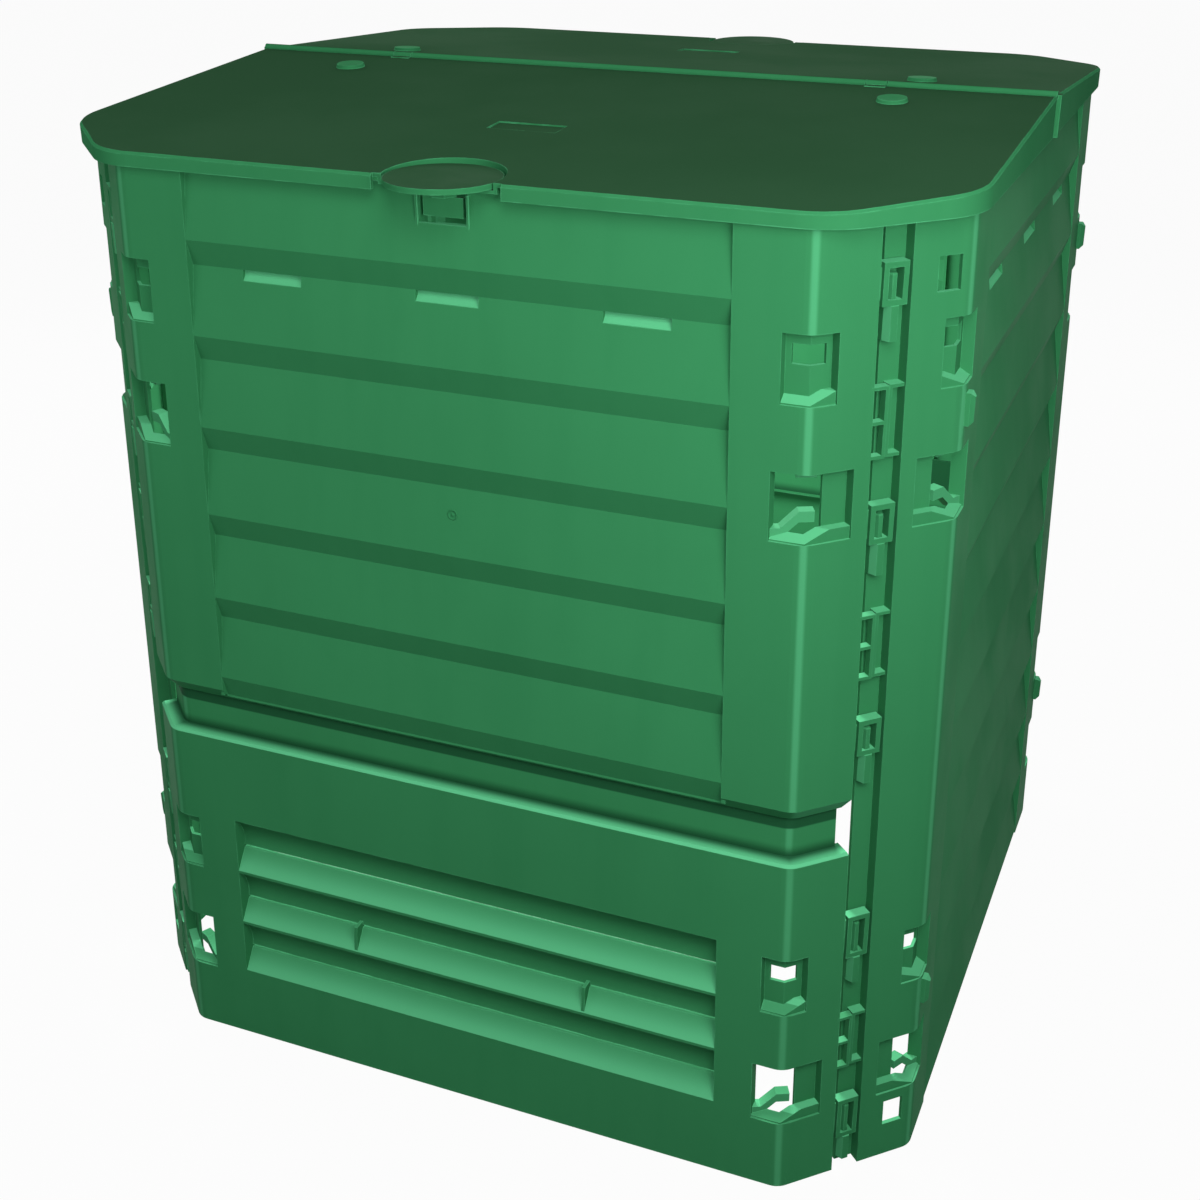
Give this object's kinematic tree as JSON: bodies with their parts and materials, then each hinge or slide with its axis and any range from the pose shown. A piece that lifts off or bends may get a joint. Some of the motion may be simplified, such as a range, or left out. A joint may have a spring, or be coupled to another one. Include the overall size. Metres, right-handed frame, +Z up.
{
  "type": "compost bin",
  "caption": "Bottomless octagonal garden compost bin with slatted hooked wall panels, louvred lift-out flaps at the foot and a gabled folding lid with turn latches.",
  "frame": {"origin": "centre of the base, on the ground", "axes": "+Z up, front face towards -Y, +X to the right seen from the front"},
  "size_m": [0.7448, 0.774, 0.8227],
  "materials": {
    "wall": "green moulded polypropylene, fine satin grain",
    "flap": "green moulded polypropylene, fine satin grain",
    "lid": "green moulded polypropylene, fine satin grain",
    "latch": "green moulded polypropylene",
    "buffer": "green moulded polypropylene",
    "corner_pin": "green moulded polypropylene",
    "hinge_pin": "green moulded polypropylene"
  },
  "bodies": {
    "shell": {"front_panel": "wall", "rear_panel": "wall", "left_panel": "wall", "right_panel": "wall", "front_left_corner_pins": "corner_pin", "front_right_corner_pins": "corner_pin", "rear_left_corner_pins": "corner_pin", "rear_right_corner_pins": "corner_pin"},
    "front_flap": {"front_flap": "flap"},
    "rear_flap": {"rear_flap": "flap"},
    "front_lid": {"front_lid": "lid", "front_lid_buffers": "buffer"},
    "rear_lid": {"rear_lid": "lid", "rear_lid_buffers": "buffer", "left_hinge_pin": "hinge_pin", "right_hinge_pin": "hinge_pin"},
    "front_latch": {"front_latch_disc": "latch", "front_latch_key": "latch"},
    "rear_latch": {"rear_latch_disc": "latch", "rear_latch_key": "latch"}
  },
  "joints": [
    {"name": "front_flap_lift", "type": "slide", "parent": "shell", "child": "front_flap", "axis": [0, 0, 1], "range_m": [0, 0.03]},
    {"name": "rear_flap_lift", "type": "slide", "parent": "shell", "child": "rear_flap", "axis": [0, 0, 1], "range_m": [0, 0.03]},
    {"name": "front_lid_hinge", "type": "hinge", "parent": "shell", "child": "front_lid", "pos_m": [0, 0, 0.8195], "axis": [-1, 0, 0], "range_deg": [0, 180]},
    {"name": "rear_lid_hinge", "type": "hinge", "parent": "shell", "child": "rear_lid", "pos_m": [0, 0, 0.8195], "axis": [1, 0, 0], "range_deg": [0, 180]},
    {"name": "front_latch_turn", "type": "hinge", "parent": "front_lid", "child": "front_latch", "pos_m": [0, -0.345, 0.79], "axis": [0, 0, 1], "range_deg": [0, 90]},
    {"name": "rear_latch_turn", "type": "hinge", "parent": "rear_lid", "child": "rear_latch", "pos_m": [0, 0.345, 0.79], "axis": [0, 0, 1], "range_deg": [0, 90]}
  ]
}
